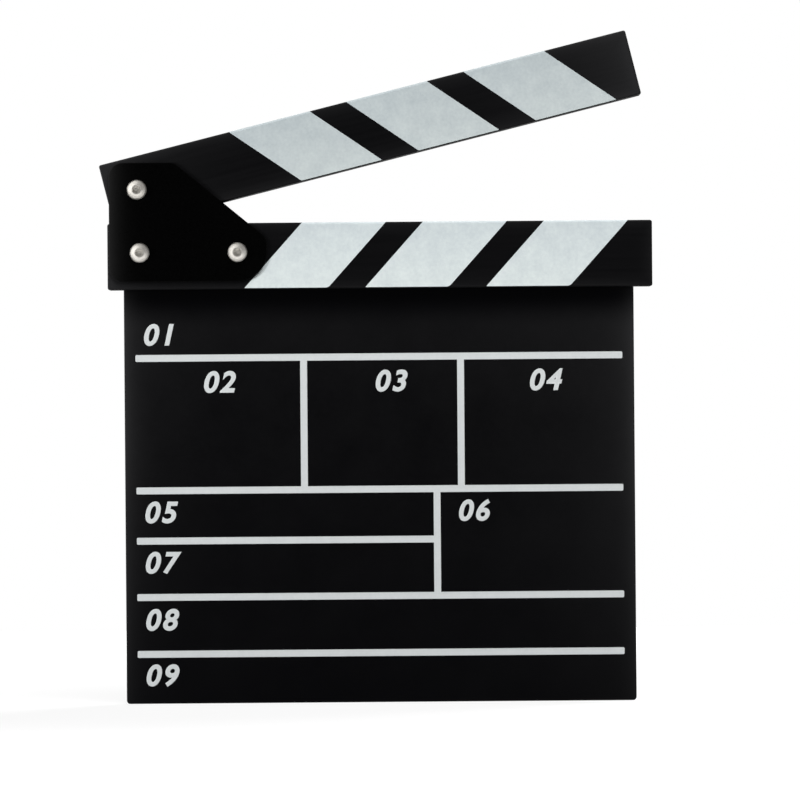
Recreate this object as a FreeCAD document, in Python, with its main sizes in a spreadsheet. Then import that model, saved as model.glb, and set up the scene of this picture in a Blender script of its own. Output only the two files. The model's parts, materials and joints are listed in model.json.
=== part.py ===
import FreeCAD, Part
import Sketcher
import math
import os

# Clapperboard: a slate hung in the groove of a fixed clap stick, with a second stick hinged above it.
# The slate stands in the XZ plane and faces -Y. The origin is the middle of the slate's bottom edge.

SIZES = {
    # Clap sticks, lying along X
    "stick_length": 200.0,
    "upper_stick_length": 199.55,
    "heel_reach": 11.4,
    "stick_height": 24.3,
    "stick_thickness": 12.0,
    "stick_edge_radius": 0.8,
    # Room on each side of the moving stick, and between the closed sticks
    "running_gap": 0.3,
    # Angle between the sticks as the board stands, in degrees
    "open_angle": 14.0,
    # Slate, and the groove that it is glued into
    "slate_width": 187.45,
    "slate_drop": 152.15,
    "slate_thickness": 4.0,
    "slate_corner_radius": 1.3,
    "slate_edge_chamfer": 0.4,
    "left_overhang": 5.725,
    "groove_depth": 8.0,
    "groove_clearance": 0.1,
    # Hinge plates, one on the front and one on the back
    "plate_thickness": 1.0,
    "plate_end_inset": 0.7,
    "plate_top_reach": 9.9,
    "plate_top_flat": 17.05,
    "plate_right_reach": 10.7,
    "plate_right_flat": 2.9,
    "plate_base_reach": 10.65,
    "plate_corner_radius": 5.0,
    "plate_lobe_radius": 10.5,
    "plate_edge_chamfer": 0.2,
    # Screw places, from the lower stick's left end and from its top
    "pivot_inset": 11.0,
    "left_screw_inset": 11.9,
    "right_screw_inset": 47.8,
    "screw_drop": 10.75,
    # Button-head screws and the sleeve nuts that they turn into
    "screw_diameter": 4.0,
    "screw_tip_chamfer": 0.4,
    "screw_tip_gap": 2.5,
    "thread_clearance": 0.05,
    "barrel_diameter": 5.0,
    "barrel_clearance": 0.05,
    "barrel_clamp_gap": 0.5,
    "barrel_floor": 1.5,
    "head_diameter": 7.2,
    "head_height": 2.2,
    "head_rim": 0.35,
    "head_flat_diameter": 3.6,
    "socket_width": 2.5,
    "socket_depth": 1.3,
    # How far a cutting shape runs past the solid that it cuts
    "overrun": 2.0,
}

doc = FreeCAD.newDocument("Clapperboard")
sheet = doc.addObject("Spreadsheet::Sheet", "Sizes")
for row, (alias, size) in enumerate(SIZES.items(), start=1):
    sheet.set(f"A{row}", alias)
    sheet.set(f"B{row}", str(size))
    sheet.setAlias(f"B{row}", alias)
doc.recompute()

# Places that several pieces share, as formulas on the sheet
STICK_LEFT = "(-Sizes.slate_width / 2 - Sizes.left_overhang)"
STICK_TOP = "(Sizes.slate_drop + Sizes.stick_height)"
STICK_HALF_HEIGHT = "(Sizes.stick_height / 2)"
STICK_HALF_THICKNESS = "(Sizes.stick_thickness / 2)"
PIVOT_X = f"({STICK_LEFT} + Sizes.pivot_inset)"
PIVOT_RISE = f"(Sizes.running_gap + {STICK_HALF_HEIGHT})"
PIVOT_Z = f"({STICK_TOP} + {PIVOT_RISE})"
SCREW_Z = f"({STICK_TOP} - Sizes.screw_drop)"
FRONT_SEAT = f"(-{STICK_HALF_THICKNESS} - Sizes.plate_thickness)"
REAR_SEAT = f"({STICK_HALF_THICKNESS} + Sizes.plate_thickness)"
GRIP = "(Sizes.stick_thickness + 2 * Sizes.plate_thickness)"
BARREL_HOLE = "(Sizes.barrel_diameter + 2 * Sizes.barrel_clearance)"


def number(formula):
    """The present value of a formula on the sheet."""
    return float(sheet.evalExpression(formula))


def new_body(label):
    body = doc.addObject("PartDesign::Body", label)
    body.Label = label
    return body


def place(body, x, y, z, axis=FreeCAD.Vector(0, 0, 1), turn="0"):
    """Puts a body at a point, turned about an axis, all given by formulas."""
    body.Placement.Rotation = FreeCAD.Rotation(axis, number(turn))
    body.setExpression("Placement.Rotation.Angle", turn)
    for name, formula in zip("xyz", (x, y, z)):
        body.setExpression(f"Placement.Base.{name}", formula)


def sketch_on(body, role, name):
    """A sketch on one of the body's own origin planes."""
    sketch = body.newObject("Sketcher::SketchObject", name)
    plane = next(item for item in body.Origin.OriginFeatures if item.Role == role)
    sketch.AttachmentSupport = [(plane, "")]
    sketch.MapMode = "FlatFace"
    return sketch


def drive(sketch, name, formula, kind, *ends):
    """Adds a named dimension that follows a formula on the sheet."""
    index = sketch.addConstraint(Sketcher.Constraint(kind, *ends, number(formula)))
    sketch.renameConstraint(index, name)
    sketch.setExpression(f"Constraints.{name}", formula)


def chain(sketch, points):
    """Joined lines through the given points."""
    corners = [FreeCAD.Vector(x, y, 0) for x, y in points]
    lines = [sketch.addGeometry(Part.LineSegment(*ends)) for ends in zip(corners, corners[1:])]
    for line, following in zip(lines, lines[1:]):
        sketch.addConstraint(Sketcher.Constraint("Coincident", line, 2, following, 1))
    return lines


def polygon(sketch, points):
    """A closed chain of lines."""
    lines = chain(sketch, points + points[:1])
    sketch.addConstraint(Sketcher.Constraint("Coincident", lines[-1], 2, lines[0], 1))
    return lines


def arc_between(centre, radius, start, end):
    """An arc that runs anticlockwise between two angles."""
    circle = Part.Circle(FreeCAD.Vector(*centre, 0), FreeCAD.Vector(0, 0, 1), radius)
    return Part.ArcOfCircle(circle, start, end)


def rectangle(sketch, left, base, width, height):
    """A rectangle whose corner and size are formulas."""
    x, y, wide, high = (number(formula) for formula in (left, base, width, height))
    lines = polygon(sketch, [(x, y), (x + wide, y), (x + wide, y + high), (x, y + high)])
    for line in lines[0::2]:
        sketch.addConstraint(Sketcher.Constraint("Horizontal", line))
    for line in lines[1::2]:
        sketch.addConstraint(Sketcher.Constraint("Vertical", line))
    drive(sketch, "left", left, "DistanceX", -1, 1, lines[0], 1)
    drive(sketch, "base", base, "DistanceY", -1, 1, lines[0], 1)
    drive(sketch, "wide", width, "DistanceX", lines[0], 1, lines[0], 2)
    drive(sketch, "high", height, "DistanceY", lines[1], 1, lines[1], 2)


def round_hole(sketch, name, x, y, diameter):
    """A circle whose centre and diameter are formulas."""
    centre = FreeCAD.Vector(number(x), number(y), 0)
    circle = sketch.addGeometry(Part.Circle(centre, FreeCAD.Vector(0, 0, 1), number(diameter) / 2))
    drive(sketch, f"{name}_x", x, "DistanceX", -1, 1, circle, 3)
    drive(sketch, f"{name}_y", y, "DistanceY", -1, 1, circle, 3)
    drive(sketch, f"{name}_across", diameter, "Diameter", circle)
    return circle


def pad(body, sketch, length, side="Symmetric"):
    feature = body.newObject("PartDesign::Pad", f"{sketch.Name}_pad")
    feature.Profile = sketch
    feature.SideType = side
    feature.setExpression("Length", length)
    doc.recompute()
    return feature


def cut_through(body, sketch):
    """A pocket that runs right through the body, both ways from its sketch."""
    feature = body.newObject("PartDesign::Pocket", f"{sketch.Name}_cut")
    feature.Profile = sketch
    feature.Type = "ThroughAll"
    feature.SideType = "Symmetric"
    doc.recompute()
    return feature


def edge_names(feature, wanted):
    """The names of the edges of a feature that the test picks out."""
    return [f"Edge{index}" for index, edge in enumerate(feature.Shape.Edges, start=1) if wanted(edge)]


def ease(body, base, name, radius, wanted):
    """Rounds the edges that the test picks out."""
    feature = body.newObject("PartDesign::Fillet", name)
    feature.Base = (base, edge_names(base, wanted))
    feature.setExpression("Radius", radius)
    doc.recompute()
    return feature


def bevel(body, base, name, size, wanted):
    """Chamfers the edges that the test picks out."""
    feature = body.newObject("PartDesign::Chamfer", name)
    feature.Base = (base, edge_names(base, wanted))
    feature.setExpression("Size", size)
    doc.recompute()


def runs_along_y(edge):
    """True for a straight edge square to the board's face."""
    box = edge.BoundBox
    return box.YLength > max(box.XLength, box.ZLength)


def make_slate():
    """The writing board: square at the top, where it is glued in, and sanded on its other edges."""
    body = new_body("slate_board")
    sketch = sketch_on(body, "XZ_Plane", "slate_outline")
    height = "(Sizes.slate_drop + Sizes.groove_depth)"
    rectangle(sketch, "(-Sizes.slate_width / 2)", "0", "Sizes.slate_width", height)
    board = pad(body, sketch, "Sizes.slate_thickness")
    middle = number(height) / 2

    def bottom_corner(edge):
        return runs_along_y(edge) and edge.CenterOfMass.z < middle

    rounded = ease(body, board, "slate_corners", "Sizes.slate_corner_radius", bottom_corner)

    def face_edge(edge):
        box = edge.BoundBox
        on_top = box.ZLength < box.XLength and edge.CenterOfMass.z > middle
        return not on_top and not runs_along_y(edge)

    bevel(body, rounded, "slate_edges", "Sizes.slate_edge_chamfer", face_edge)
    return body


def make_lower_stick():
    """The fixed stick: a rail with a groove along its underside and two bores for the hinge."""
    body = new_body("lower_stick")
    section = sketch_on(body, "YZ_Plane", "rail_section")
    rectangle(section, f"(-{STICK_HALF_THICKNESS})", "0", "Sizes.stick_thickness", "Sizes.stick_height")
    rail = pad(body, section, "Sizes.stick_length", side="One side")
    ease(body, rail, "rail_edges", "Sizes.stick_edge_radius", lambda edge: True)

    groove = sketch_on(body, "YZ_Plane", "slate_groove")
    width = "(Sizes.slate_thickness + 2 * Sizes.groove_clearance)"
    depth = "(Sizes.groove_depth + Sizes.overrun)"
    rectangle(groove, f"(-{width} / 2)", "(-Sizes.overrun)", width, depth)
    cut_through(body, groove)

    bores = sketch_on(body, "XZ_Plane", "fixing_bores")
    bore_height = "(Sizes.stick_height - Sizes.screw_drop)"
    for side in ("left", "right"):
        round_hole(bores, side, f"Sizes.{side}_screw_inset", bore_height, BARREL_HOLE)
    cut_through(body, bores)
    place(body, STICK_LEFT, "0", "Sizes.slate_drop")
    return body


def make_upper_stick():
    """The moving stick, drawn about its pivot. Its heel is rounded so that it can turn."""
    body = new_body("upper_stick")
    outline = sketch_on(body, "XZ_Plane", "stick_outline")
    rectangle(outline, "(-Sizes.heel_reach)", f"(-{STICK_HALF_HEIGHT})", "Sizes.upper_stick_length",
              "Sizes.stick_height")
    pad(body, outline, "(Sizes.stick_thickness - 2 * Sizes.running_gap)")

    # The heel follows a circle about the pivot, so it keeps its gap to the lower stick at every angle
    heel = sketch_on(body, "XZ_Plane", "heel_relief")
    radius = number(STICK_HALF_HEIGHT)
    far_left = -max(number("Sizes.heel_reach"), radius) - number("Sizes.overrun")
    far_down = -radius - number("Sizes.overrun")
    level, end, floor, wall = chain(
        heel, [(-radius, 0), (far_left, 0), (far_left, far_down), (0, far_down), (0, -radius)])
    arc = heel.addGeometry(arc_between((0, 0), radius, math.pi, 1.5 * math.pi))
    heel.addConstraint(Sketcher.Constraint("Coincident", arc, 3, -1, 1))
    heel.addConstraint(Sketcher.Constraint("Coincident", arc, 1, level, 1))
    heel.addConstraint(Sketcher.Constraint("Coincident", arc, 2, wall, 2))
    heel.addConstraint(Sketcher.Constraint("PointOnObject", level, 1, -1))
    heel.addConstraint(Sketcher.Constraint("PointOnObject", level, 2, -1))
    heel.addConstraint(Sketcher.Constraint("Vertical", end))
    heel.addConstraint(Sketcher.Constraint("Horizontal", floor))
    heel.addConstraint(Sketcher.Constraint("PointOnObject", wall, 1, -2))
    heel.addConstraint(Sketcher.Constraint("PointOnObject", wall, 2, -2))
    drive(heel, "heel_radius", STICK_HALF_HEIGHT, "Radius", arc)
    drive(heel, "past_end", f"(max(Sizes.heel_reach; {STICK_HALF_HEIGHT}) + Sizes.overrun)",
          "DistanceX", end, 1, -1, 1)
    drive(heel, "past_floor", f"({STICK_HALF_HEIGHT} + Sizes.overrun)", "DistanceY", floor, 1, -1, 1)
    relieved = cut_through(body, heel)

    reach = number("Sizes.stick_edge_radius")

    def outer_edge(edge):
        smooth_seam = runs_along_y(edge) and abs(edge.CenterOfMass.x) < reach
        return not smooth_seam

    ease(body, relieved, "stick_edges", "Sizes.stick_edge_radius", outer_edge)
    bore = sketch_on(body, "XZ_Plane", "pivot_bore")
    round_hole(bore, "pivot", "0", "0", BARREL_HOLE)
    cut_through(body, bore)
    place(body, PIVOT_X, "0", PIVOT_Z, axis=FreeCAD.Vector(0, -1, 0), turn="Sizes.open_angle")
    return body


def make_hinge_plate(label, outward):
    """A stamped plate, drawn about the pivot hole: straight left, top and bottom edges, a slope from
    the shoulder to the nose, and a short right edge above a wide round lobe. Every corner is an arc
    tangent to its neighbours. The outer face looks along Y by the sign of outward, and has the
    stamping's softened rim."""
    body = new_body(label)
    sketch = sketch_on(body, "XZ_Plane", f"{label}_outline")
    drop = f"({PIVOT_RISE} + Sizes.screw_drop)"
    left_reach = "(Sizes.pivot_inset - Sizes.plate_end_inset)"
    right_x = "(Sizes.right_screw_inset - Sizes.pivot_inset)"
    right_reach = f"({right_x} + Sizes.plate_right_reach)"
    base_reach = f"({drop} + Sizes.plate_base_reach)"

    # A first drawing near the solved one
    corner_r = number("Sizes.plate_corner_radius")
    lobe_r = number("Sizes.plate_lobe_radius")
    left = -number(left_reach)
    right = number(right_reach)
    top = number("Sizes.plate_top_reach")
    base = -number(base_reach)
    lobe = FreeCAD.Vector(right - lobe_r, base + lobe_r, 0)
    nose = FreeCAD.Vector(right - corner_r, lobe.y + number("Sizes.plate_right_flat"), 0)
    shoulder = FreeCAD.Vector(left + corner_r + number("Sizes.plate_top_flat"), top - corner_r, 0)
    run = nose - shoulder
    normal_angle = math.atan2(run.y, run.x) + math.pi / 2
    normal = FreeCAD.Vector(math.cos(normal_angle), math.sin(normal_angle), 0)
    outline = [
        Part.LineSegment(FreeCAD.Vector(left, base + corner_r, 0), FreeCAD.Vector(left, top - corner_r, 0)),
        arc_between((left + corner_r, top - corner_r), corner_r, math.pi / 2, math.pi),
        Part.LineSegment(FreeCAD.Vector(left + corner_r, top, 0), FreeCAD.Vector(shoulder.x, top, 0)),
        arc_between((shoulder.x, shoulder.y), corner_r, normal_angle, math.pi / 2),
        Part.LineSegment(shoulder + normal * corner_r, nose + normal * corner_r),
        arc_between((nose.x, nose.y), corner_r, 0, normal_angle),
        Part.LineSegment(FreeCAD.Vector(right, nose.y, 0), FreeCAD.Vector(right, lobe.y, 0)),
        arc_between((lobe.x, lobe.y), lobe_r, -math.pi / 2, 0),
        Part.LineSegment(FreeCAD.Vector(lobe.x, base, 0), FreeCAD.Vector(left + corner_r, base, 0)),
        arc_between((left + corner_r, base + corner_r), corner_r, math.pi, 1.5 * math.pi),
    ]
    (left_edge, top_corner, top_edge, shoulder_arc, slope, nose_arc, right_edge, lobe_arc, base_edge,
     base_corner) = [sketch.addGeometry(item) for item in outline]
    tangent_ends = [
        (left_edge, 2, top_corner, 2),
        (top_corner, 1, top_edge, 1),
        (top_edge, 2, shoulder_arc, 2),
        (shoulder_arc, 1, slope, 1),
        (slope, 2, nose_arc, 2),
        (nose_arc, 1, right_edge, 1),
        (right_edge, 2, lobe_arc, 2),
        (lobe_arc, 1, base_edge, 1),
        (base_edge, 2, base_corner, 2),
        (base_corner, 1, left_edge, 1),
    ]
    for ends in tangent_ends:
        sketch.addConstraint(Sketcher.Constraint("Tangent", *ends))
    for upright in (left_edge, right_edge):
        sketch.addConstraint(Sketcher.Constraint("Vertical", upright))
    for level in (top_edge, base_edge):
        sketch.addConstraint(Sketcher.Constraint("Horizontal", level))
    for corner in (base_corner, shoulder_arc, nose_arc):
        sketch.addConstraint(Sketcher.Constraint("Equal", top_corner, corner))
    drive(sketch, "corner_radius", "Sizes.plate_corner_radius", "Radius", top_corner)
    drive(sketch, "lobe_radius", "Sizes.plate_lobe_radius", "Radius", lobe_arc)
    drive(sketch, "left_reach", left_reach, "DistanceX", left_edge, 1, -1, 1)
    drive(sketch, "top_reach", "Sizes.plate_top_reach", "DistanceY", -1, 1, top_edge, 1)
    drive(sketch, "top_flat", "Sizes.plate_top_flat", "DistanceX", top_edge, 1, top_edge, 2)
    drive(sketch, "right_reach", right_reach, "DistanceX", -1, 1, right_edge, 1)
    drive(sketch, "right_flat", "Sizes.plate_right_flat", "DistanceY", right_edge, 2, right_edge, 1)
    drive(sketch, "base_reach", base_reach, "DistanceY", base_edge, 1, -1, 1)

    left_x = "(Sizes.left_screw_inset - Sizes.pivot_inset)"
    round_hole(sketch, "pivot_hole", "0", "0", BARREL_HOLE)
    round_hole(sketch, "left_hole", left_x, f"(-{drop})", BARREL_HOLE)
    round_hole(sketch, "right_hole", right_x, f"(-{drop})", BARREL_HOLE)
    plate = pad(body, sketch, "Sizes.plate_thickness")

    hole_length = math.pi * number(BARREL_HOLE)

    def outer_rim(edge):
        bore = math.isclose(edge.Length, hole_length, rel_tol=1e-6)
        faces_out = edge.CenterOfMass.y * outward > 0
        return faces_out and not bore and not runs_along_y(edge)

    bevel(body, plate, f"{label}_rim", "Sizes.plate_edge_chamfer", outer_rim)
    seat = f"({outward} * ({STICK_HALF_THICKNESS} + Sizes.plate_thickness / 2))"
    place(body, PIVOT_X, seat, PIVOT_Z)
    return body


def head_and_stem(body, label, stem):
    """A button head above the XZ plane's front side, turned in one piece with a stem behind it.
    The stem's half profile is a list of radius and depth formulas, from the head's seat inwards."""
    sketch = sketch_on(body, "XY_Plane", f"{label}_profile")
    half_head = "(Sizes.head_diameter / 2)"
    half_flat = "(Sizes.head_flat_diameter / 2)"
    corners = [
        ("0", "(-Sizes.head_height)"),
        (half_flat, "(-Sizes.head_height)"),
        (half_head, "(-Sizes.head_rim)"),
        (half_head, "0"),
    ] + stem
    lines = polygon(sketch, [(number(x), number(y)) for x, y in corners])
    for index, (x, y) in enumerate(corners):
        drive(sketch, f"corner_{index}_x", x, "DistanceX", -1, 1, lines[index], 1)
        drive(sketch, f"corner_{index}_y", y, "DistanceY", -1, 1, lines[index], 1)

    # The slanted flank becomes a dome: an arc with its centre on the axis
    flank = lines[1]
    flat, rim = number(half_flat), number(half_head)
    high, low = -number("Sizes.head_height"), -number("Sizes.head_rim")
    centre_y = (rim ** 2 + low ** 2 - flat ** 2 - high ** 2) / (2 * (low - high))
    start = math.atan2(high - centre_y, flat)
    end = math.atan2(low - centre_y, rim)
    sketch.toggleConstruction(flank)
    dome = sketch.addGeometry(arc_between((0, centre_y), math.hypot(flat, high - centre_y), start, end))
    sketch.addConstraint(Sketcher.Constraint("Coincident", dome, 1, flank, 1))
    sketch.addConstraint(Sketcher.Constraint("Coincident", dome, 2, flank, 2))
    sketch.addConstraint(Sketcher.Constraint("PointOnObject", dome, 3, -2))
    turned = body.newObject("PartDesign::Revolution", f"{label}_turned")
    turned.Profile = sketch
    turned.ReferenceAxis = (sketch, ["V_Axis"])
    doc.recompute()

    socket = sketch_on(body, "XZ_Plane", f"{label}_socket")
    socket.setExpression("AttachmentOffset.Base.z", "Sizes.head_height")
    half_width = "(Sizes.socket_width / 2)"
    corner_radius = number(half_width) / math.cos(math.pi / 6)
    turns = [math.pi / 6 + step * math.pi / 3 for step in range(6)]
    corners = [(corner_radius * math.cos(turn), corner_radius * math.sin(turn)) for turn in turns]
    sides = polygon(socket, corners)
    upright = sides[2]
    ring = Part.Circle(FreeCAD.Vector(0, 0, 0), FreeCAD.Vector(0, 0, 1), corner_radius)
    guide = socket.addGeometry(ring, True)
    socket.addConstraint(Sketcher.Constraint("Coincident", guide, 3, -1, 1))
    for side in sides:
        socket.addConstraint(Sketcher.Constraint("PointOnObject", side, 1, guide))
    for side in sides[1:]:
        socket.addConstraint(Sketcher.Constraint("Equal", sides[0], side))
    socket.addConstraint(Sketcher.Constraint("Vertical", upright))
    drive(socket, "half_width", half_width, "DistanceX", upright, 1, -1, 1)
    recess = body.newObject("PartDesign::Pocket", f"{label}_recess")
    recess.Profile = socket
    recess.setExpression("Length", "Sizes.socket_depth")
    doc.recompute()


def make_screw(label, x, z):
    """A button-head machine screw, seated on the front plate. Its tip stops short of the nut's floor."""
    body = new_body(label)
    radius = "(Sizes.screw_diameter / 2)"
    tip = f"({radius} - Sizes.screw_tip_chamfer)"
    reach = f"({GRIP} - Sizes.barrel_floor - Sizes.screw_tip_gap)"
    stem = [
        (radius, "0"),
        (radius, f"({reach} - Sizes.screw_tip_chamfer)"),
        (tip, reach),
        ("0", reach),
    ]
    head_and_stem(body, label, stem)
    place(body, x, FRONT_SEAT, z)
    return body


def make_barrel(label, x, z):
    """A sleeve nut from the back. Its tube passes both plates, and stops short so that the screw clamps."""
    body = new_body(label)
    outer = "(Sizes.barrel_diameter / 2)"
    inner = "(Sizes.screw_diameter / 2 + Sizes.thread_clearance)"
    mouth = f"({GRIP} - Sizes.barrel_clamp_gap)"
    stem = [
        (outer, "0"),
        (outer, mouth),
        (inner, mouth),
        (inner, "Sizes.barrel_floor"),
        ("0", "Sizes.barrel_floor"),
    ]
    head_and_stem(body, label, stem)
    place(body, x, REAR_SEAT, z, turn="180")
    return body


bodies = [
    make_slate(),
    make_lower_stick(),
    make_upper_stick(),
    make_hinge_plate("front_hinge_plate", outward=-1),
    make_hinge_plate("rear_hinge_plate", outward=1),
]
fastener_places = {
    "pivot": (PIVOT_X, PIVOT_Z),
    "left_fixing": (f"({STICK_LEFT} + Sizes.left_screw_inset)", SCREW_Z),
    "right_fixing": (f"({STICK_LEFT} + Sizes.right_screw_inset)", SCREW_Z),
}
for name, (x, z) in fastener_places.items():
    bodies.append(make_screw(f"{name}_screw", x, z))
    bodies.append(make_barrel(f"{name}_barrel", x, z))
doc.recompute()

for item in doc.Objects:
    if "Invalid" in item.State or "Error" in item.State:
        raise RuntimeError(f"{item.Name} failed: {item.State}")
    if item.TypeId == "PartDesign::Pocket" and item.Shape.Volume >= item.BaseFeature.Shape.Volume:
        raise RuntimeError(f"{item.Name} cuts nothing")
for body in bodies:
    if body.Shape.isNull() or not body.Shape.isValid() or len(body.Shape.Solids) != 1:
        raise RuntimeError(f"{body.Label} is not one sound solid")

os.makedirs("parts", exist_ok=True)
for body in bodies:
    body.Shape.exportStep(f"parts/{body.Label}.step")
    box = body.Shape.BoundBox
    print(f"{body.Label}: {box.XLength:.2f} x {box.YLength:.2f} x {box.ZLength:.2f} mm,",
          f"{body.Shape.Volume / 1000:.2f} cm3")
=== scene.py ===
# %% [markdown]
# # Dressing a clapperboard
# A clapperboard is a black writing slate under two striped clap sticks. The CAD model already gives
# every solid piece its shape and its place, in metres, with +Z up the slate and the printed face
# towards -Y. This lesson adds what a solid lacks: lacquer, plating, printed ink, light and a camera.
# The first step loads the model.

# %% Load the CAD model
import json
import math

import bmesh
import bpy
from mathutils import Matrix, Vector


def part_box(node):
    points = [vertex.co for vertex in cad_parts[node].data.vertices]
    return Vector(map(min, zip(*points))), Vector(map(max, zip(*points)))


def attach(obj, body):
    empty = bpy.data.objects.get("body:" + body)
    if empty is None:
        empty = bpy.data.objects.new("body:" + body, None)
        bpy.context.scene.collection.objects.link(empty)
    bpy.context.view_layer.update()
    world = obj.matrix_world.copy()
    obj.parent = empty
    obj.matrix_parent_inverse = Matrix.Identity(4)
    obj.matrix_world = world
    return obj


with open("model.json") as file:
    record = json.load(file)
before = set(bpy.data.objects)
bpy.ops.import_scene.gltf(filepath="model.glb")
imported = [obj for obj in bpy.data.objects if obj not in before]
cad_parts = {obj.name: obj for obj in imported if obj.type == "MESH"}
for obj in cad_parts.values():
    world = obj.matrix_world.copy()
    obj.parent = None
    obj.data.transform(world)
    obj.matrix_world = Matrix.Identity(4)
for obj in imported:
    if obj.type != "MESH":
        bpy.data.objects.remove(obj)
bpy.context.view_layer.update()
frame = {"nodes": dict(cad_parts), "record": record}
MM = 0.001


# %% [markdown]
# ## The camera
# The photograph is taken square to the printed face and from far off, because the sides of the slate
# run parallel and no side face shows. A wide lens close by would splay those sides, so a long lens
# about two metres away is used instead. It follows from how wide the picture is at the sticks' front
# face. The board stands a little turned in the picture, so the camera rolls the other way.

# %% Place the camera
CAMERA_DISTANCE = 2200 * MM
PICTURE_WIDTH = 293.6 * MM
SIGHT_X = 7.55 * MM
SIGHT_Z = 111 * MM
BOARD_TURN = math.radians(0.45)
UPRIGHT = math.radians(90)
SENSOR_WIDTH = 36

stick_low, stick_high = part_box("lower_stick")
print_plane = stick_low.y

bpy.ops.object.camera_add(
    location=(SIGHT_X, print_plane - CAMERA_DISTANCE, SIGHT_Z),
    rotation=(UPRIGHT, BOARD_TURN, 0),
)
camera = bpy.context.object
camera.name = "photo_camera"
camera.data.sensor_width = SENSOR_WIDTH
camera.data.lens = SENSOR_WIDTH * CAMERA_DISTANCE / PICTURE_WIDTH
bpy.context.scene.camera = camera
bpy.context.scene.view_settings.view_transform = "Standard"
print("lens in mm:", round(camera.data.lens, 1))

# %% [markdown]
# ## Small helpers
# Every material below is a small graph of nodes. One function adds a node, sets its options and fills
# or links its sockets, so that a graph reads from top to bottom. Colours are given as sRGB hex
# codes, while Blender's sockets take linear light, so one function turns the one into the other. A
# pattern's scale is written as the real size of its grain, because noise has one grain per unit at
# scale 1. Painted light makes black paint paler near its edges, and that fades inwards by the same
# share with each millimetre, which is a power. The board's materials all end alike, with a
# texture that moves the roughness and the bump, so one function makes that end.

# %% Helpers for materials
NOISE_SPAN = (0.3, 0.7)


def add_node(tree, kind, sockets=None, **options):
    """Adds one node, sets its options, and fills or links its input sockets."""
    made = tree.nodes.new(kind)
    for option, value in options.items():
        setattr(made, option, value)
    for socket, value in (sockets or {}).items():
        if isinstance(value, bpy.types.NodeSocket):
            tree.links.new(value, made.inputs[socket])
        else:
            made.inputs[socket].default_value = value
    return made


def linear(hex_code):
    """Turns an sRGB hex code into the linear colour that a socket takes."""
    shares = [int(hex_code[place:place + 2], 16) / 255 for place in (1, 3, 5)]
    return [share / 12.92 if share <= 0.04045 else ((share + 0.055) / 1.055) ** 2.4
            for share in shares] + [1.0]


def grain(size_in_mm):
    """The noise scale at which one grain is this wide."""
    return 1 / (size_in_mm * MM)


def add_painted_light(tree, paleness, distance, painted_light):
    """Adds painted light to a paleness: so much at the edge, and of that a share kept with each
    millimetre.
    """
    at_edge, kept_per_mm = painted_light
    in_mm = add_node(tree, "ShaderNodeMath", {0: distance, 1: 1 / MM}, operation="MULTIPLY").outputs[0]
    fade = add_node(tree, "ShaderNodeMath", {0: kept_per_mm, 1: in_mm}, operation="POWER").outputs[0]
    return add_node(tree, "ShaderNodeMath", {0: fade, 1: at_edge, 2: paleness},
                    operation="MULTIPLY_ADD").outputs[0]


def new_material(name):
    """A fresh material, its node tree, its shader and the object's own coordinates."""
    material = bpy.data.materials.new(name)
    material.use_nodes = True
    tree = material.node_tree
    shader = tree.nodes["Principled BSDF"]
    place = add_node(tree, "ShaderNodeTexCoord").outputs["Object"]
    return material, tree, shader, place


def finish_surface(tree, shader, colour, texture, roughness, relief, span=NOISE_SPAN):
    """Links a colour, and lets a texture move the roughness and the relief, a strength and a depth."""
    gloss = add_node(tree, "ShaderNodeMapRange",
                     {"Value": texture, "From Min": span[0], "From Max": span[1],
                      "To Min": roughness[0], "To Max": roughness[1]}).outputs[0]
    bump = add_node(tree, "ShaderNodeBump",
                    {"Height": texture, "Strength": relief[0], "Distance": relief[1]})
    tree.links.new(colour, shader.inputs["Base Color"])
    tree.links.new(gloss, shader.inputs["Roughness"])
    tree.links.new(bump.outputs["Normal"], shader.inputs["Normal"])


def coat(node_name, material):
    """Gives a CAD node its finished material."""
    frame["nodes"][node_name].material_slots[0].material = material
    print(node_name, "is finished in", material.name)


print("helpers ready, middle grey is", [round(value, 3) for value in linear("#808080")])

# %% [markdown]
# ## The slate's lacquer
# The slate is a thin panel under matt black lacquer, put on with a roller. A roller leaves a fine
# stipple, too fine to show here, so it is drawn coarser at about 1.3 mm. Faint cloudy patches vary the
# black, and a painted sheen makes the upper part paler, where light from above falls. A painted glare
# makes the sides paler: strongly at the very edge and faintly far into the field, so each side fades
# twice, once fast and once slowly. Just under the stick a painted shade keeps a deeper black, and
# towards the bottom the black is darker. All of that mixes two blacks, and the stipple moves the
# roughness and the bump.

# %% Matt lacquer for the slate
STIPPLE = 1.3
STIPPLE_SHARE = 0.1
CLOUD = 22
CLOUD_SHARE = 0.22
# painted sheen: the slate's black grows paler towards the top
SHEEN_FROM = 100 * MM
SHEEN_FULLY = 148 * MM
SHEEN_LEAST = -0.04
SHEEN_MOST = 0.07
# painted shade: the black is deeper just under the lower stick
SHADE_DEPTH = 3 * MM
SHADE_ENDS = 15 * MM
SHADE_SHARE = 0.05
DARKENING_HEIGHT = 100 * MM
FOOT_SHARE = 0.35
# painted glare at the slate's sides: the share at the edge, and the share kept with each millimetre
LEFT_WIDE_GLARE = (0.26, 0.93)
RIGHT_WIDE_GLARE = (0.36, 0.958)
LEFT_EDGE_GLARE = (0.72, 0.68)
RIGHT_EDGE_GLARE = (0.6, 0.66)

slate_low, slate_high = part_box("slate_board")

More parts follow.
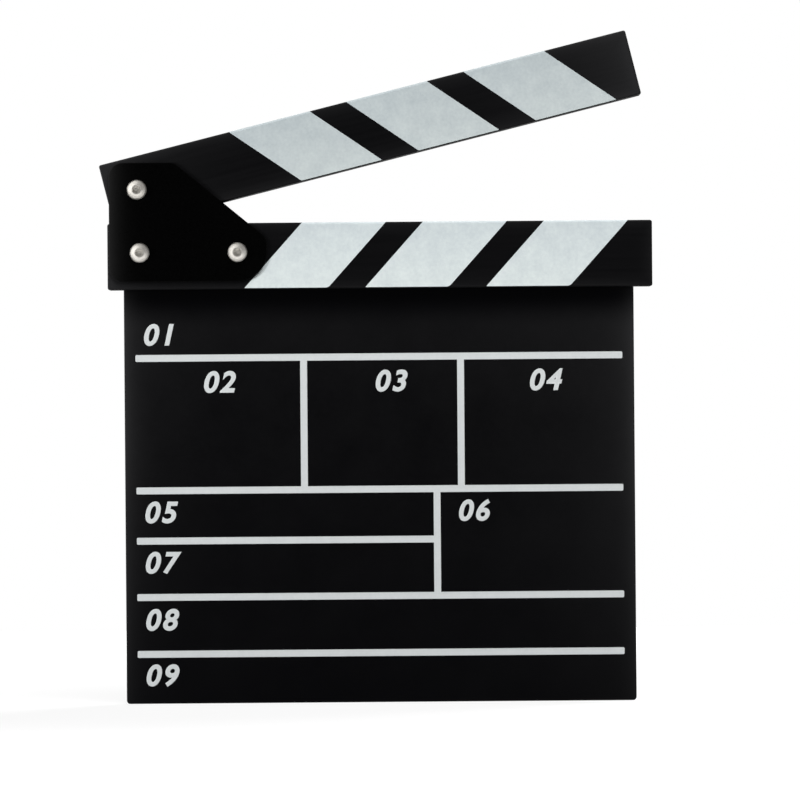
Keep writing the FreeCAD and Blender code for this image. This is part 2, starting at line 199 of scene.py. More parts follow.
slate_lacquer, tree, shader, place = new_material("rolled_matt_lacquer_on_plywood")
clouds = add_node(tree, "ShaderNodeTexNoise",
                  {"Vector": place, "Scale": grain(CLOUD), "Detail": 4, "Roughness": 0.6})
stipple = add_node(tree, "ShaderNodeTexNoise",
                   {"Vector": place, "Scale": grain(STIPPLE), "Detail": 2, "Roughness": 0.6})
spot = add_node(tree, "ShaderNodeSeparateXYZ", {"Vector": place})
from_left = add_node(tree, "ShaderNodeMath", {0: spot.outputs["X"], 1: slate_low.x},
                     operation="SUBTRACT").outputs[0]
from_right = add_node(tree, "ShaderNodeMath", {0: slate_high.x, 1: spot.outputs["X"]},
                      operation="SUBTRACT").outputs[0]
below_stick = add_node(tree, "ShaderNodeMath", {0: stick_low.z, 1: spot.outputs["Z"]},
                       operation="SUBTRACT").outputs[0]
# painted sheen: paler towards the top, where light from above falls
painted_top_sheen = add_node(tree, "ShaderNodeMapRange",
                 {"Value": spot.outputs["Z"], "From Min": SHEEN_FROM, "From Max": SHEEN_FULLY,
                  "To Min": SHEEN_LEAST, "To Max": SHEEN_MOST},
                 interpolation_type="SMOOTHSTEP").outputs[0]
cloudy = add_node(tree, "ShaderNodeMath", {0: clouds.outputs["Fac"], 1: CLOUD_SHARE, 2: painted_top_sheen},
                  operation="MULTIPLY_ADD").outputs[0]
mottle_and_sheen = add_node(tree, "ShaderNodeMath", {0: stipple.outputs["Fac"], 1: STIPPLE_SHARE, 2: cloudy},
                operation="MULTIPLY_ADD").outputs[0]
# painted glare: the sides are paler, faintly and far into the field
with_wide_glare = add_painted_light(tree, add_painted_light(tree, mottle_and_sheen, from_left, LEFT_WIDE_GLARE), from_right, RIGHT_WIDE_GLARE)
# painted shade: the stick's shadow on the slate, darkest right under it
painted_shade_under_stick = add_node(tree, "ShaderNodeMapRange",
                   {"Value": below_stick, "From Min": SHADE_DEPTH, "From Max": SHADE_ENDS,
                    "To Min": SHADE_SHARE, "To Max": 1.0},
                   interpolation_type="SMOOTHSTEP").outputs[0]
speckled = add_node(tree, "ShaderNodeMath", {0: with_wide_glare, 1: painted_shade_under_stick}, operation="MULTIPLY").outputs[0]
# painted glare: the sides are paler, strongly at the very edge
with_side_glare = add_painted_light(tree, add_painted_light(tree, speckled, from_left, LEFT_EDGE_GLARE), from_right, RIGHT_EDGE_GLARE)
# the black is darker towards the bottom
towards_foot = add_node(tree, "ShaderNodeMapRange",
                   {"Value": spot.outputs["Z"], "From Min": 0, "From Max": DARKENING_HEIGHT,
                    "To Min": FOOT_SHARE, "To Max": 1.0}).outputs[0]
paleness = add_node(tree, "ShaderNodeMath", {0: with_side_glare, 1: towards_foot}, operation="MULTIPLY").outputs[0]
black = add_node(tree, "ShaderNodeMix", {0: paleness, 6: linear("#020203"), 7: linear("#282829")},
                 data_type="RGBA").outputs[2]
finish_surface(tree, shader, black, stipple.outputs["Fac"],
               roughness=(0.54, 0.68), relief=(0.25, 0.05 * MM))
shader.inputs["Specular IOR Level"].default_value = 0.03
coat("slate_board", slate_lacquer)

# %% [markdown]
# ## The sticks' lacquer
# The clap sticks are planed hardwood under sprayed black lacquer. Spray follows the wood, so the long
# grain still shows as faint streaks along the stick. Noise that is stretched along one axis gives such
# streaks. Each stick gets its own frame from a Mapping node, with X along the stick: the upper stick
# stands open, so its frame is turned about the pivot by the open angle, which comes from the hinge.
# In that frame the edges are easy to find. A painted glare makes them paler, and the hinge ends too,
# and a painted sheen makes the upper stick's free end paler.

# %% Sprayed lacquer for the two sticks
GRAIN_WIDTH = 1.2
GRAIN_LENGTH = 40
STREAK_SHARE = 0.18
HEEL_REACH = 11.4 * MM
UPPER_STICK_LENGTH = 199.55 * MM
# painted glare and sheen at the sticks' edges and ends: the share at the edge, and the share kept per mm
LOWER_EDGE_GLARE = (0.35, 0.6)
LOWER_HINGE_END_GLARE = (1.0, 0.82)
UPPER_EDGE_GLARE = (0.47, 0.66)
UPPER_HINGE_END_GLARE = (0.85, 0.93)
UPPER_FREE_END_SHEEN = (0.72, 0.957)
NO_PAINTED_LIGHT = (0.0, 1.0)

hinge = next(joint for joint in frame["record"]["behaviour"]["joints"]
             if joint["name"] == "clapper_hinge")
pivot = Vector(hinge["pos_m"])
open_angle = math.radians(-hinge["range_deg"][0])
stick_height = stick_high.z - stick_low.z
lower_hub = Vector((stick_low.x, 0, (stick_low.z + stick_high.z) / 2))


def stick_lacquer(name, hub, turn, left_end, right_end, edge_glare, hinge_end_glare, free_end_sheen):
    """Sprayed lacquer on a stick that runs from its left to its right end, measured from a hub."""
    material, tree, shader, place = new_material(name)
    level = Matrix.Rotation(turn, 3, "Y")
    own = add_node(tree, "ShaderNodeMapping",
                   {"Vector": place, "Rotation": (0, turn, 0), "Location": -(level @ hub)}).outputs[0]
    spot = add_node(tree, "ShaderNodeSeparateXYZ", {"Vector": own})
    off_axis = add_node(tree, "ShaderNodeMath", {0: spot.outputs["Z"]}, operation="ABSOLUTE").outputs[0]
    to_long_edge = add_node(tree, "ShaderNodeMath", {0: stick_height / 2, 1: off_axis},
                            operation="SUBTRACT").outputs[0]
    to_left = add_node(tree, "ShaderNodeMath", {0: spot.outputs["X"], 1: left_end},
                       operation="SUBTRACT").outputs[0]
    to_right = add_node(tree, "ShaderNodeMath", {0: right_end, 1: spot.outputs["X"]},
                        operation="SUBTRACT").outputs[0]
    to_end = add_node(tree, "ShaderNodeMath", {0: to_left, 1: to_right}, operation="MINIMUM").outputs[0]
    to_edge = add_node(tree, "ShaderNodeMath", {0: to_long_edge, 1: to_end},
                       operation="MINIMUM").outputs[0]
    stretched = add_node(tree, "ShaderNodeMapping",
                         {"Vector": own,
                          "Scale": (grain(GRAIN_LENGTH), grain(GRAIN_WIDTH), grain(GRAIN_WIDTH))})
    streaks = add_node(tree, "ShaderNodeTexNoise",
                       {"Vector": stretched.outputs[0], "Scale": 1, "Detail": 4, "Roughness": 0.6})
    streaked = add_node(tree, "ShaderNodeMath", {0: streaks.outputs["Fac"], 1: STREAK_SHARE},
                        operation="MULTIPLY").outputs[0]
    # painted glare on the edges and hinge ends, and painted sheen on the free end
    with_edge_glare = add_painted_light(tree, streaked, to_edge, edge_glare)
    with_end_glare = add_painted_light(tree, with_edge_glare, to_left, hinge_end_glare)
    paleness = add_painted_light(tree, with_end_glare, to_right, free_end_sheen)
    black = add_node(tree, "ShaderNodeMix", {0: paleness, 6: linear("#050506"), 7: linear("#262627")},
                     data_type="RGBA").outputs[2]
    finish_surface(tree, shader, black, streaks.outputs["Fac"],
                   roughness=(0.42, 0.56), relief=(0.1, 0.06 * MM))
    shader.inputs["Specular IOR Level"].default_value = 0.05
    return material


coat("lower_stick", stick_lacquer("sprayed_lacquer_on_level_hardwood", lower_hub, 0,
                                  0, stick_high.x - stick_low.x,
                                  LOWER_EDGE_GLARE, LOWER_HINGE_END_GLARE, NO_PAINTED_LIGHT))
coat("upper_stick", stick_lacquer("sprayed_lacquer_on_raised_hardwood", pivot, open_angle,
                                  -HEEL_REACH, UPPER_STICK_LENGTH - HEEL_REACH,
                                  UPPER_EDGE_GLARE, UPPER_HINGE_END_GLARE, UPPER_FREE_END_SHEEN))

# %% [markdown]
# ## The hinge plates' coating
# The plates are stamped steel with a baked black powder coating, the deepest black on the board. The
# powder melts into a fine orange peel about 0.9 mm across, which breaks up the soft sheen. A painted
# reflection of the light from the left makes the black paler at the plate's outer side.

# %% Powder coating for the plates
PEEL = 0.9
PEEL_SHARE = 0.06
# painted reflection at the plate's left side: the share at the edge, and the share kept per mm
PLATE_SIDE_REFLECTION = (1.0, 0.7)

plate_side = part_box("front_hinge_plate")[0].x
plate_coating, tree, shader, place = new_material("baked_powder_coat_on_steel")
peel = add_node(tree, "ShaderNodeTexNoise",
                {"Vector": place, "Scale": grain(PEEL), "Detail": 1.5, "Roughness": 0.5})
across = add_node(tree, "ShaderNodeSeparateXYZ", {"Vector": place}).outputs["X"]
from_side = add_node(tree, "ShaderNodeMath", {0: across, 1: plate_side}, operation="SUBTRACT").outputs[0]
speckled = add_node(tree, "ShaderNodeMath", {0: peel.outputs["Fac"], 1: PEEL_SHARE},
                    operation="MULTIPLY").outputs[0]
# painted reflection: the plate's left side is paler, fading inwards
paleness = add_painted_light(tree, speckled, from_side, PLATE_SIDE_REFLECTION)
black = add_node(tree, "ShaderNodeMix", {0: paleness, 6: linear("#010101"), 7: linear("#1f1f1f")},
                 data_type="RGBA").outputs[2]
finish_surface(tree, shader, black, peel.outputs["Fac"],
               roughness=(0.26, 0.34), relief=(0.15, 0.05 * MM))
shader.inputs["Specular IOR Level"].default_value = 0.03
for node_name in ("front_hinge_plate", "rear_hinge_plate"):
    coat(node_name, plate_coating)

# %% [markdown]
# ## The screws' plating
# The three socket screws and their sleeve nuts are turned steel with a bright nickel plating, which is a
# little warmer than chrome. Plating follows the surface below, so the lathe's rings still run round each
# head. Real ones are too fine to show here and are drawn about 0.7 mm apart. Soft patches about half a
# millimetre wide break up the gloss besides. Rings need a middle, so every screw and its sleeve nut get
# a plating of their own, in which a Mapping node brings the screw's axis to the middle.

# %% Nickel plating for the screws and sleeve nuts
PATCH = 0.5
RING = 0.7
RING_SHARE = 0.5
RING_SPAN = (0.15, 0.85)
WAVES_PER_UNIT = 20 / (2 * math.pi)


def nickel_plating(name, middle):
    """Bright nickel on turned steel, whose rings run round an axis through this point, along Y."""
    material, tree, shader, place = new_material(name)
    centred = add_node(tree, "ShaderNodeMapping", {"Vector": place, "Location": -middle}).outputs[0]
    rings = add_node(tree, "ShaderNodeTexWave",
                     {"Vector": centred, "Scale": grain(RING) / WAVES_PER_UNIT},
                     wave_type="RINGS", rings_direction="Y")
    patches = add_node(tree, "ShaderNodeTexNoise",
                       {"Vector": place, "Scale": grain(PATCH), "Detail": 2, "Roughness": 0.5})
    ringed = add_node(tree, "ShaderNodeMix",
                      {0: RING_SHARE, 2: patches.outputs["Fac"], 3: rings.outputs["Fac"]}).outputs[0]
    metal = add_node(tree, "ShaderNodeMix", {0: ringed, 6: linear("#d5d1c9"), 7: linear("#f4f1eb")},
                     data_type="RGBA").outputs[2]
    finish_surface(tree, shader, metal, ringed,
                   roughness=(0.44, 0.56), relief=(1.0, 0.05 * MM), span=RING_SPAN)
    shader.inputs["Metallic"].default_value = 1
    return material


for place_name in ("pivot", "left_fixing", "right_fixing"):
    screw_low, screw_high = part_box(place_name + "_screw")
    plating = nickel_plating(f"nickel_on_turned_steel_{place_name}", (screw_low + screw_high) / 2)
    coat(place_name + "_screw", plating)
    coat(place_name + "_barrel", plating)

# %% [markdown]
# ## The white ink
# Stripes, ruled lines and field numbers are one white ink, pushed through a silk screen. Screen ink is
# matt and lies unevenly, so it shows faint clouds about 6 mm wide and a fine mottle. Painted light makes
# the tone fall off across each piece: on both sticks the ink is lighter at the lower edge, with painted
# light bounced up from the floor, and on the slate it is darker towards the bottom, with painted shade
# where the light falls off. On the upper stick all of it is greyer. One function makes the ink from a
# bright and a dark tone and from the two places where the painted light is brightest and darkest.

# %% Screen-printed white ink
MOTTLE = 1.1
INK_CLOUD = 6
# painted light: how far the ink's tone falls off across a piece
LIGHT_FALL = 0.4
BRIGHTEST_SPREAD = 0.4
DARKEST_SPREAD = 1.6


def screen_ink(name, bright_tone, dark_tone, brightest_at, darkest_at):
    """White screen ink, uneven, with painted light that falls off from one place to another."""
    material, tree, shader, place = new_material(name)
    along = (darkest_at - brightest_at).normalized()
    along_fall = add_node(tree, "ShaderNodeVectorMath", {0: place, 1: along},
                      operation="DOT_PRODUCT").outputs["Value"]
    # painted light: the tone falls off from the brightest place to the darkest
    painted_fall = add_node(tree, "ShaderNodeMapRange",
                       {"Value": along_fall,
                        "From Min": brightest_at.dot(along), "From Max": darkest_at.dot(along),
                        "To Min": -LIGHT_FALL, "To Max": LIGHT_FALL}).outputs[0]
    drift = add_node(tree, "ShaderNodeTexNoise",
                     {"Vector": place, "Scale": grain(INK_CLOUD), "Detail": 2, "Roughness": 0.5})
    mottle = add_node(tree, "ShaderNodeTexNoise",
                      {"Vector": place, "Scale": grain(MOTTLE), "Detail": 2, "Roughness": 0.6})
    uneven = add_node(tree, "ShaderNodeMath",
                      {0: drift.outputs["Fac"], 1: mottle.outputs["Fac"]}, operation="ADD").outputs[0]
    spread = add_node(tree, "ShaderNodeMath", {0: uneven, 1: painted_fall}, operation="ADD").outputs[0]
    unevenness_and_fall = add_node(tree, "ShaderNodeMapRange",
                        {"Value": spread, "From Min": BRIGHTEST_SPREAD, "From Max": DARKEST_SPREAD}).outputs[0]
    white = add_node(tree, "ShaderNodeMix", {0: unevenness_and_fall, 6: linear(bright_tone), 7: linear(dark_tone)},
                     data_type="RGBA").outputs[2]
    finish_surface(tree, shader, white, mottle.outputs["Fac"],
                   roughness=(0.55, 0.7), relief=(0.1, 0.04 * MM))
    shader.inputs["Specular IOR Level"].default_value = 0.3
    return material


half_height = Vector((0, 0, stick_height / 2))
raised_half = Matrix.Rotation(-open_angle, 3, "Y") @ half_height
slate_foot = Vector((0, 0, slate_low.z))
slate_head = Vector((0, 0, stick_low.z))
# painted light bounced from the floor: the sticks' ink is lighter at the lower edge
lower_ink = screen_ink("full_screen_ink_on_lower_stick", "#dfe7e6", "#c4cdd0",
                       lower_hub - half_height, lower_hub + half_height)
# the upper stick's ink is a greyer tone than the lower stick's
upper_ink = screen_ink("thin_screen_ink_on_upper_stick", "#c8d0d0", "#aeb7ba",
                       pivot - raised_half, pivot + raised_half)
# painted shade: the slate's ink grows darker towards the bottom, where the light falls off
slate_ink = screen_ink("screen_ink_on_slate", "#d6dada", "#cbcfd0", slate_head, slate_foot)
print("inks ready:", lower_ink.name, upper_ink.name, slate_ink.name)

# %% [markdown]
# ## Working by hand, in code
# The printed ink is modelled as by hand: a primitive is added, edited and turned into a thin film. An
# operator acts on everything that is selected, so each step first selects what it means, by place or
# by normal. A film could be a flat sheet, but a sheet has no thickness and flickers where it lies on the
# lacquer, so Solidify makes it a thin closed shell that is bedded a little into the surface.

# %% Helpers for modelling by hand
FILM = 0.06 * MM
FILM_BEDDING = 0.02 * MM
CORNER_STEPS = 4
CLOSE = 0.09 * MM


def start_clean():
    """Deselects every object before a new piece is made."""
    bpy.ops.object.select_all(action="DESELECT")


def take(piece):
    """Selects one piece alone and makes it the active one."""
    start_clean()
    piece.select_set(True)
    bpy.context.view_layer.objects.active = piece


def pick(kind, test):
    """In edit mode, selects the vertices, edges or faces that pass the test, and nothing else."""
    bpy.ops.mesh.select_mode(type={"verts": "VERT", "edges": "EDGE", "faces": "FACE"}[kind])
    bpy.ops.mesh.select_all(action="DESELECT")
    mesh = bpy.context.object.data
    shape = bmesh.from_edit_mesh(mesh)
    for part in getattr(shape, kind):
        if test(part):
            part.select_set(True)
    shape.select_flush_mode()
    bmesh.update_edit_mesh(mesh)


def trim(point, outward):
    """In edit mode, cuts the whole mesh by a plane and drops what lies outside it."""
    bpy.ops.mesh.select_all(action="SELECT")
    bpy.ops.mesh.bisect(plane_co=point, plane_no=outward, clear_outer=True)


def bake_in_place():
    """Moves the active piece's place, turn and size into its mesh."""
    bpy.ops.object.transform_apply(location=True, rotation=True, scale=True)


def make_film(piece):
    """Gives a skin the thickness of ink, most of it proud of the surface below."""
    film = piece.modifiers.new("ink_film", "SOLIDIFY")
    film.thickness = FILM
    film.offset = 1 - 2 * FILM_BEDDING / FILM
    film.use_even_offset = True
    bpy.ops.object.modifier_apply(modifier=film.name)


def settle(piece, body, material):
    """Puts a finished piece at the origin, gives it its ink and lets it ride on a body."""
    bake_in_place()
    piece.data.materials.clear()
    piece.data.materials.append(material)
    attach(piece, body)


print("ink film in mm:", FILM / MM)

# %% [markdown]
# ## One stripe
# A stripe is ink on the front of a stick that runs on over the eased top edge. A flat plate would leave
# a black line along that edge, so the stripe starts as a block as thick and high as the stick. Its
# front top edge is bevelled like the wood, two leaning cuts and a level one trim it, and everything but
# the front skin is deleted. Rounding the two lower corners gives the soft corners of printed ink. On
# the lower stick the blunt one is rounder than the sharp one.

# %% Model one stripe on a level stick
LOWER_STRIPE_WIDTH = 30.8 * MM
UPPER_STRIPE_WIDTH = 30.55 * MM
STRIPE_LEAN = math.radians(41.75)
SHARP_CORNER = 0.3 * MM
LOWER_BLUNT_CORNER = 0.9 * MM
UPPER_BLUNT_CORNER = 0.3 * MM
EDGE_RADIUS = 0.8 * MM
EDGE_STEPS = 6
LOWER_MARGIN = 0.35 * MM
FRONT_LIMIT = -0.02
SMOOTH_LIMIT = math.radians(40)


def model_stripe(name, width, middle, thickness, lean, blunt_corner):
    """One stripe of ink over a level stick that is this thick, leaning by this angle."""
    start_clean()
    reach = width + stick_height * abs(math.tan(lean)) + 4 * EDGE_RADIUS
    bpy.ops.mesh.primitive_cube_add(size=1, location=middle, scale=(reach, thickness, stick_height))
    stripe = bpy.context.object
    stripe.name = name
    bake_in_place()
    front = middle.y - thickness / 2
    top = middle.z + stick_height / 2
    low = middle.z - stick_height / 2 + LOWER_MARGIN
    bpy.ops.object.mode_set(mode="EDIT")
    pick("edges", lambda edge: all(abs(corner.co.y - front) < CLOSE and abs(corner.co.z - top) < CLOSE
                                   for corner in edge.verts))
    bpy.ops.mesh.bevel(offset=EDGE_RADIUS, segments=EDGE_STEPS, affect="EDGES")
    side = Vector((math.cos(lean), 0, -math.sin(lean)))
    half_width = Vector((width / 2, 0, 0))
    trim(middle + half_width, side)
    trim(middle - half_width, -side)
    trim(Vector((0, 0, low)), Vector((0, 0, -1)))
    pick("faces", lambda face: face.normal.y > FRONT_LIMIT)
    bpy.ops.mesh.delete(type="FACE")
    foot = middle.x + (low - middle.z) * math.tan(lean)
    for towards, corner_size in ((lean, blunt_corner), (-lean, SHARP_CORNER)):
        pick("verts", lambda corner: abs(corner.co.z - low) < CLOSE
             and (corner.co.x - foot) * towards > 0)
        bpy.ops.mesh.bevel(offset=corner_size, segments=CORNER_STEPS, affect="VERTICES")
    bpy.ops.object.mode_set(mode="OBJECT")
    make_film(stripe)
    bpy.ops.object.shade_smooth_by_angle(angle=SMOOTH_LIMIT)
    return stripe


print("stripe edge leans", round(math.degrees(STRIPE_LEAN), 1), "degrees from upright")

# %% [markdown]
# ## Six stripes
# The lower stripes lean to the right and the upper ones to the left, so that they meet in arrows when
# the sticks close. Each stick carries three at one pitch: the first is modelled, and the others are
# copies with a mesh of their own.

# %% Lower stripes
STRIPE_PITCH = 44.4 * MM
LOWER_FIRST = 76.1 * MM
UPPER_FIRST = 64.1 * MM


def row_of_three(first, name):
    """The first stripe and two copies of it along X, one pitch apart."""
    row = [first]
    for number in (2, 3):
        take(first)
        bpy.ops.object.duplicate(linked=False)
        twin = bpy.context.object
        twin.name = f"{name}_{number}"
        bpy.ops.transform.translate(value=((number - 1) * STRIPE_PITCH, 0, 0))
        row.append(twin)
    return row


lower_middle = lower_hub + Vector((LOWER_FIRST, 0, 0))
first_lower = model_stripe("lower_stripe_1", LOWER_STRIPE_WIDTH, lower_middle,
                           stick_high.y - stick_low.y, STRIPE_LEAN, LOWER_BLUNT_CORNER)
lower_stripes = row_of_three(first_lower, "lower_stripe")
for stripe in lower_stripes:
    take(stripe)
    settle(stripe, "board", lower_ink)
print("lower stripes:", [stripe.name for stripe in lower_stripes])

# %% [markdown]
# The upper stick stands open, so its stripes can't be trimmed level where they lie. They are modelled
# on a level stick instead and then turned about the pivot by the open angle, which is the stick's place
# at rest. They ride on the clapper, so that they swing with it.

# %% Upper stripes
upper_low, upper_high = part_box("upper_stick")
upper_middle = pivot + Vector((UPPER_FIRST, 0, 0))
first_upper = model_stripe("upper_stripe_1", UPPER_STRIPE_WIDTH, upper_middle,
                           upper_high.y - upper_low.y, -STRIPE_LEAN, UPPER_BLUNT_CORNER)
for stripe in row_of_three(first_upper, "upper_stripe"):
    take(stripe)
    bake_in_place()
    bpy.ops.object.mode_set(mode="EDIT")
    bpy.ops.mesh.select_all(action="SELECT")
    bpy.ops.transform.rotate(value=open_angle, orient_axis="Y", center_override=pivot)
    bpy.ops.object.mode_set(mode="OBJECT")
    settle(stripe, "clapper", upper_ink)
    print(stripe.name, "rises to", round(max(corner.co.z for corner in stripe.data.vertices) / MM, 1))

# %% [markdown]
# ## The ruled lines
# The slate is ruled into fields by lines of the same ink. A line is a plane of its length and width,
# with the corners at its free ends slightly rounded, and then made a film. The upright lines end where
# they meet the level ones, so no ink lies twice in one place.

# %% Rule the slate
LINE_WIDTH = 2.53 * MM
LINE_CORNER = 0.45 * MM
LINE_LEFT = 4.12 * MM
LINE_RIGHT = 4.32 * MM
FIRST_FIELD_EDGE = 65.92 * MM
SECOND_FIELD_EDGE = 123.62 * MM
LOWER_FIELD_EDGE = 114.62 * MM

left_end = slate_low.x + LINE_LEFT
right_end = slate_high.x - LINE_RIGHT
lower_field_edge = slate_low.x + LOWER_FIELD_EDGE
half_line = LINE_WIDTH / 2
level_rows = [127.0 * MM, 78.3 * MM, 59.8 * MM, 39.1 * MM, 18.2 * MM]


def rule_line(name, left, right, bottom, top, free_ends):
    """One printed line on the slate's front face, with its corners rounded at its free ends."""
    start_clean()
    bpy.ops.mesh.primitive_plane_add(
        size=1, location=((left + right) / 2, slate_low.y, (bottom + top) / 2),
        rotation=(UPRIGHT, 0, 0))
    line = bpy.context.object
    line.name = name
    line.scale = (right - left, top - bottom, 1)
    bake_in_place()
    bpy.ops.object.mode_set(mode="EDIT")
    pick("verts", lambda corner: any(abs(corner.co.x - end) < LINE_CORNER for end in free_ends))
    bpy.ops.mesh.bevel(offset=LINE_CORNER, segments=CORNER_STEPS, affect="VERTICES")
    bpy.ops.object.mode_set(mode="OBJECT")
    make_film(line)
    settle(line, "board", slate_ink)


for number, height in enumerate(level_rows, start=1):
    line_end = lower_field_edge - half_line if number == 3 else right_end
    rule_line(f"level_line_{number}", left_end, line_end, height - half_line, height + half_line,
              free_ends=(left_end, right_end))

upright_lines = {
    "upright_line_1": (slate_low.x + FIRST_FIELD_EDGE, level_rows[1], level_rows[0]),
    "upright_line_2": (slate_low.x + SECOND_FIELD_EDGE, level_rows[1], level_rows[0]),
    "upright_line_3": (lower_field_edge, level_rows[3], level_rows[1]),
}
for name, (middle, below, above) in upright_lines.items():
    rule_line(name, middle - half_line, middle + half_line, below + half_line, above - half_line,
              free_ends=())
print("ruled", len(level_rows), "level and", len(upright_lines), "upright lines")

# %% [markdown]
# ## The field numbers
# Each field carries a plain number in bold slanted figures, so that a crew can say which field to fill
# in. Figures are simplest as text: the built-in font, leant and thickened, is made a mesh, brought to
# its height, and laid on the slate as a film. The weight comes from a bevel round the outline, because
# the font's own offset makes thin outlines cross themselves, and the fill then breaks. Extrusion and
# bevel together make the figure one unit thick, which the scale then brings down to the film.

# %% Number the fields
FIGURE_HEIGHT = 7.7 * MM
FIGURE_SLANT = 0.22
FIGURE_WEIGHT = 0.032
FIGURE_SPACING = 1.2
HALF_UNIT = 0.5
MERGE = 0.01 * MM

field_marks = [
    ("1", "LEFT", -87.0, 132.0),
    ("2", "CENTER", -59.2, 114.5),
    ("3", "CENTER", 3.9, 114.5),
    ("4", "CENTER", 60.6, 114.5),
    ("5", "LEFT", -87.0, 66.7),
    ("6", "LEFT", 28.3, 66.7),
    ("7", "LEFT", -87.0, 48.2),
    ("8", "LEFT", -87.0, 27.2),
    ("9", "LEFT", -87.0, 6.8),
]
for figure, align, across_mm, up_mm in field_marks:
    start_clean()
    bpy.ops.object.text_add()
    mark = bpy.context.object
    mark.name = f"field_number_{figure}"
    mark.data.body = "0" + figure
    mark.data.align_x = align
    mark.data.shear = FIGURE_SLANT
    mark.data.bevel_depth = FIGURE_WEIGHT
    mark.data.bevel_resolution = 1
    mark.data.space_character = FIGURE_SPACING
    mark.data.extrude = HALF_UNIT - FIGURE_WEIGHT
    bpy.ops.object.convert(target="MESH")
    mark = bpy.context.object
    rise = max(corner.co.y for corner in mark.data.vertices)
    mark.scale = (FIGURE_HEIGHT / rise, FIGURE_HEIGHT / rise, FILM)
    mark.rotation_euler = (UPRIGHT, 0, 0)
    mark.location = (across_mm * MM, slate_low.y + FILM_BEDDING - FILM / 2, up_mm * MM)
    bake_in_place()
    bpy.ops.object.mode_set(mode="EDIT")
    bpy.ops.mesh.select_all(action="SELECT")
    bpy.ops.mesh.remove_doubles(threshold=MERGE)
    bpy.ops.object.mode_set(mode="OBJECT")
    settle(mark, "board", slate_ink)
print("numbered", len(field_marks), "fields")

# %% [markdown]
# ## The floor
# The photograph is cut out on pure white. A floor lit up to white would throw light back under the
# stick, so it is a wide plane of grey diffuse paint that looks white by a glow which only camera and
# mirror rays see. The glow lights nothing. It is weaker near the board, where the lamps make up the
# rest of the white, so that a soft shadow stays, and full further out, where the floor then runs into
# the white room without a horizon.

# %% Lay the floor
FLOOR_SIZE = 1.4
FLOOR_DROP = 0.05 * MM
NEAR_BOARD = 150 * MM
FAR_FROM_BOARD = 500 * MM
GLOW_NEAR = 0.78
GLOW_FAR = 1.0
MIRROR_GLOW = 1.0
WHITE = (1, 1, 1, 1)


def camera_and_mirror_rays(tree):
    """Two sockets, 1 for a ray from the camera and 1 for a ray that metal or glass has sent on."""
    rays = add_node(tree, "ShaderNodeLightPath").outputs
    mirrored = add_node(tree, "ShaderNodeMath",
                        {0: rays["Is Glossy Ray"], 1: rays["Is Transmission Ray"]},
                        operation="MAXIMUM").outputs[0]
    return rays["Is Camera Ray"], mirrored


start_clean()
bpy.ops.mesh.primitive_plane_add(size=FLOOR_SIZE, location=(0, 0, -FLOOR_DROP))
floor = bpy.context.object
floor.name = "floor"
floor_paint = bpy.data.materials.new("pale_studio_floor")
floor_paint.use_nodes = True
tree = floor_paint.node_tree
tree.nodes.remove(tree.nodes["Principled BSDF"])
from_camera, mirrored = camera_and_mirror_rays(tree)
mirror_glow = add_node(tree, "ShaderNodeMath", {0: mirrored, 1: MIRROR_GLOW},
                       operation="MULTIPLY").outputs[0]
from_board = add_node(tree, "ShaderNodeVectorMath",
                      {0: add_node(tree, "ShaderNodeTexCoord").outputs["Object"]},
                      operation="LENGTH").outputs["Value"]
camera_glow = add_node(tree, "ShaderNodeMapRange",
                       {"Value": from_board, "From Min": NEAR_BOARD, "From Max": FAR_FROM_BOARD,
                        "To Min": GLOW_NEAR, "To Max": GLOW_FAR},
                       interpolation_type="SMOOTHSTEP").outputs[0]
glow = add_node(tree, "ShaderNodeMath", {0: from_camera, 1: camera_glow, 2: mirror_glow},
                operation="MULTIPLY_ADD").outputs[0]
painted = add_node(tree, "ShaderNodeBsdfDiffuse", {"Color": linear("#787878")})
glowing = add_node(tree, "ShaderNodeEmission", {"Color": WHITE, "Strength": glow})
surface = add_node(tree, "ShaderNodeAddShader", {0: painted.outputs[0], 1: glowing.outputs[0]})
tree.links.new(surface.outputs[0], tree.nodes["Material Output"].inputs["Surface"])
floor.data.materials.append(floor_paint)
print("floor is", FLOOR_SIZE, "m wide")

# %% [markdown]
# ## The room
# The room does the same: camera rays see white, and the light that it gives is a plain soft fill. Mirror
# rays see a bright wall on the left, a grey one on the right and dark ones in front and behind, because
# the photographed screw heads are bright on the left and grey on the right. The walls fade into each
# other by the ray's heading, so that no hard line shows in the metal.

# %% Light the room
FILL_LEVEL = 0.06
DARK_WALL = 0.12
RIGHT_WALL = 0.55
LEFT_WALL = 2.1
SIDE_ENDS = 0.35
FRONT_STARTS = 0.8
LEFT_HEADING = -0.8
RIGHT_HEADING = 0.4

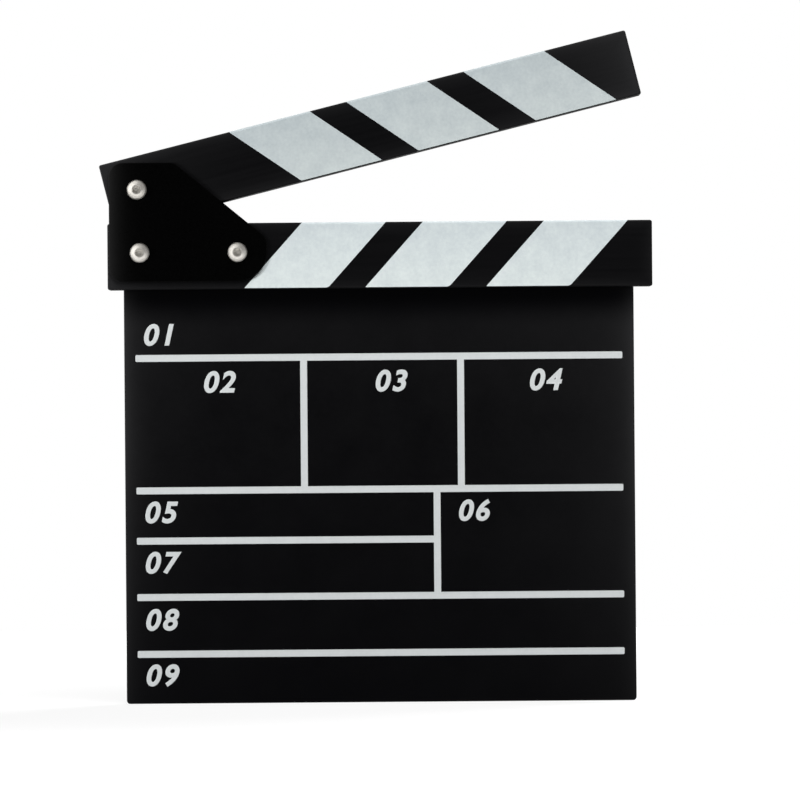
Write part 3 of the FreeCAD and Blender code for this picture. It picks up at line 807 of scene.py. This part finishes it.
world = bpy.data.worlds.new("studio_room")
bpy.context.scene.world = world
world.use_nodes = True
tree = world.node_tree
from_camera, mirrored = camera_and_mirror_rays(tree)
heading = add_node(tree, "ShaderNodeSeparateXYZ",
                   {"Vector": add_node(tree, "ShaderNodeTexCoord").outputs["Generated"]})
facing = add_node(tree, "ShaderNodeMath", {0: heading.outputs["Y"]}, operation="ABSOLUTE").outputs[0]
wall = add_node(tree, "ShaderNodeMapRange",
                {"Value": facing, "From Min": SIDE_ENDS, "From Max": FRONT_STARTS,
                 "To Min": 1.0, "To Max": DARK_WALL}, interpolation_type="SMOOTHSTEP").outputs[0]
sideways = add_node(tree, "ShaderNodeMapRange",
                    {"Value": heading.outputs["X"], "From Min": LEFT_HEADING, "From Max": RIGHT_HEADING,
                     "To Min": LEFT_WALL, "To Max": RIGHT_WALL},
                    interpolation_type="SMOOTHSTEP").outputs[0]
walls = add_node(tree, "ShaderNodeMath", {0: wall, 1: sideways}, operation="MULTIPLY").outputs[0]
lit = add_node(tree, "ShaderNodeMix", {0: mirrored, 2: FILL_LEVEL, 3: walls}).outputs[0]
level = add_node(tree, "ShaderNodeMix", {0: from_camera, 2: lit, 3: 1.0}).outputs[0]
tree.links.new(level, tree.nodes["Background"].inputs["Strength"])
tree.nodes["Background"].inputs["Color"].default_value = WHITE
print("fill level", FILL_LEVEL)

# %% [markdown]
# ## Lamps
# Shadows say where the light stands. The long soft one under the lower stick comes from a box high up
# in front. The pale crescent at the hinge plate's lower right, which lies level with the plate, comes
# from a second box on the left, a little weaker and smaller, so that the crescent has a clear edge.
# Both are hidden from mirror rays, which already see the bright left wall, as two hard glints would
# not look like the soft ones on the real screws. A third box behind lights the back.

# %% Hang the soft boxes
lamps = {
    "upper_soft_box": {"stand": (0.4, -0.95, 1.55), "width": 1.1, "height": 1.1, "power": 31.0},
    "left_soft_box": {"stand": (-1.6, -0.85, 0.3), "width": 0.3, "height": 0.6, "power": 26.0},
    "rear_soft_box": {"stand": (0.9, 1.1, 1.2), "width": 0.8, "height": 0.8, "power": 36.0},
}
aim = Vector((0, 0, 120 * MM))
for name, box in lamps.items():
    bpy.ops.object.light_add(type="AREA", location=box["stand"])
    lamp = bpy.context.object
    lamp.name = name
    lamp.data.shape = "RECTANGLE"
    lamp.data.size = box["width"]
    lamp.data.size_y = box["height"]
    lamp.data.energy = box["power"]
    lamp.rotation_euler = (aim - Vector(box["stand"])).to_track_quat("-Z", "Y").to_euler()
    lamp.visible_glossy = name == "rear_soft_box"
    print(name, "gives", box["power"], "W")
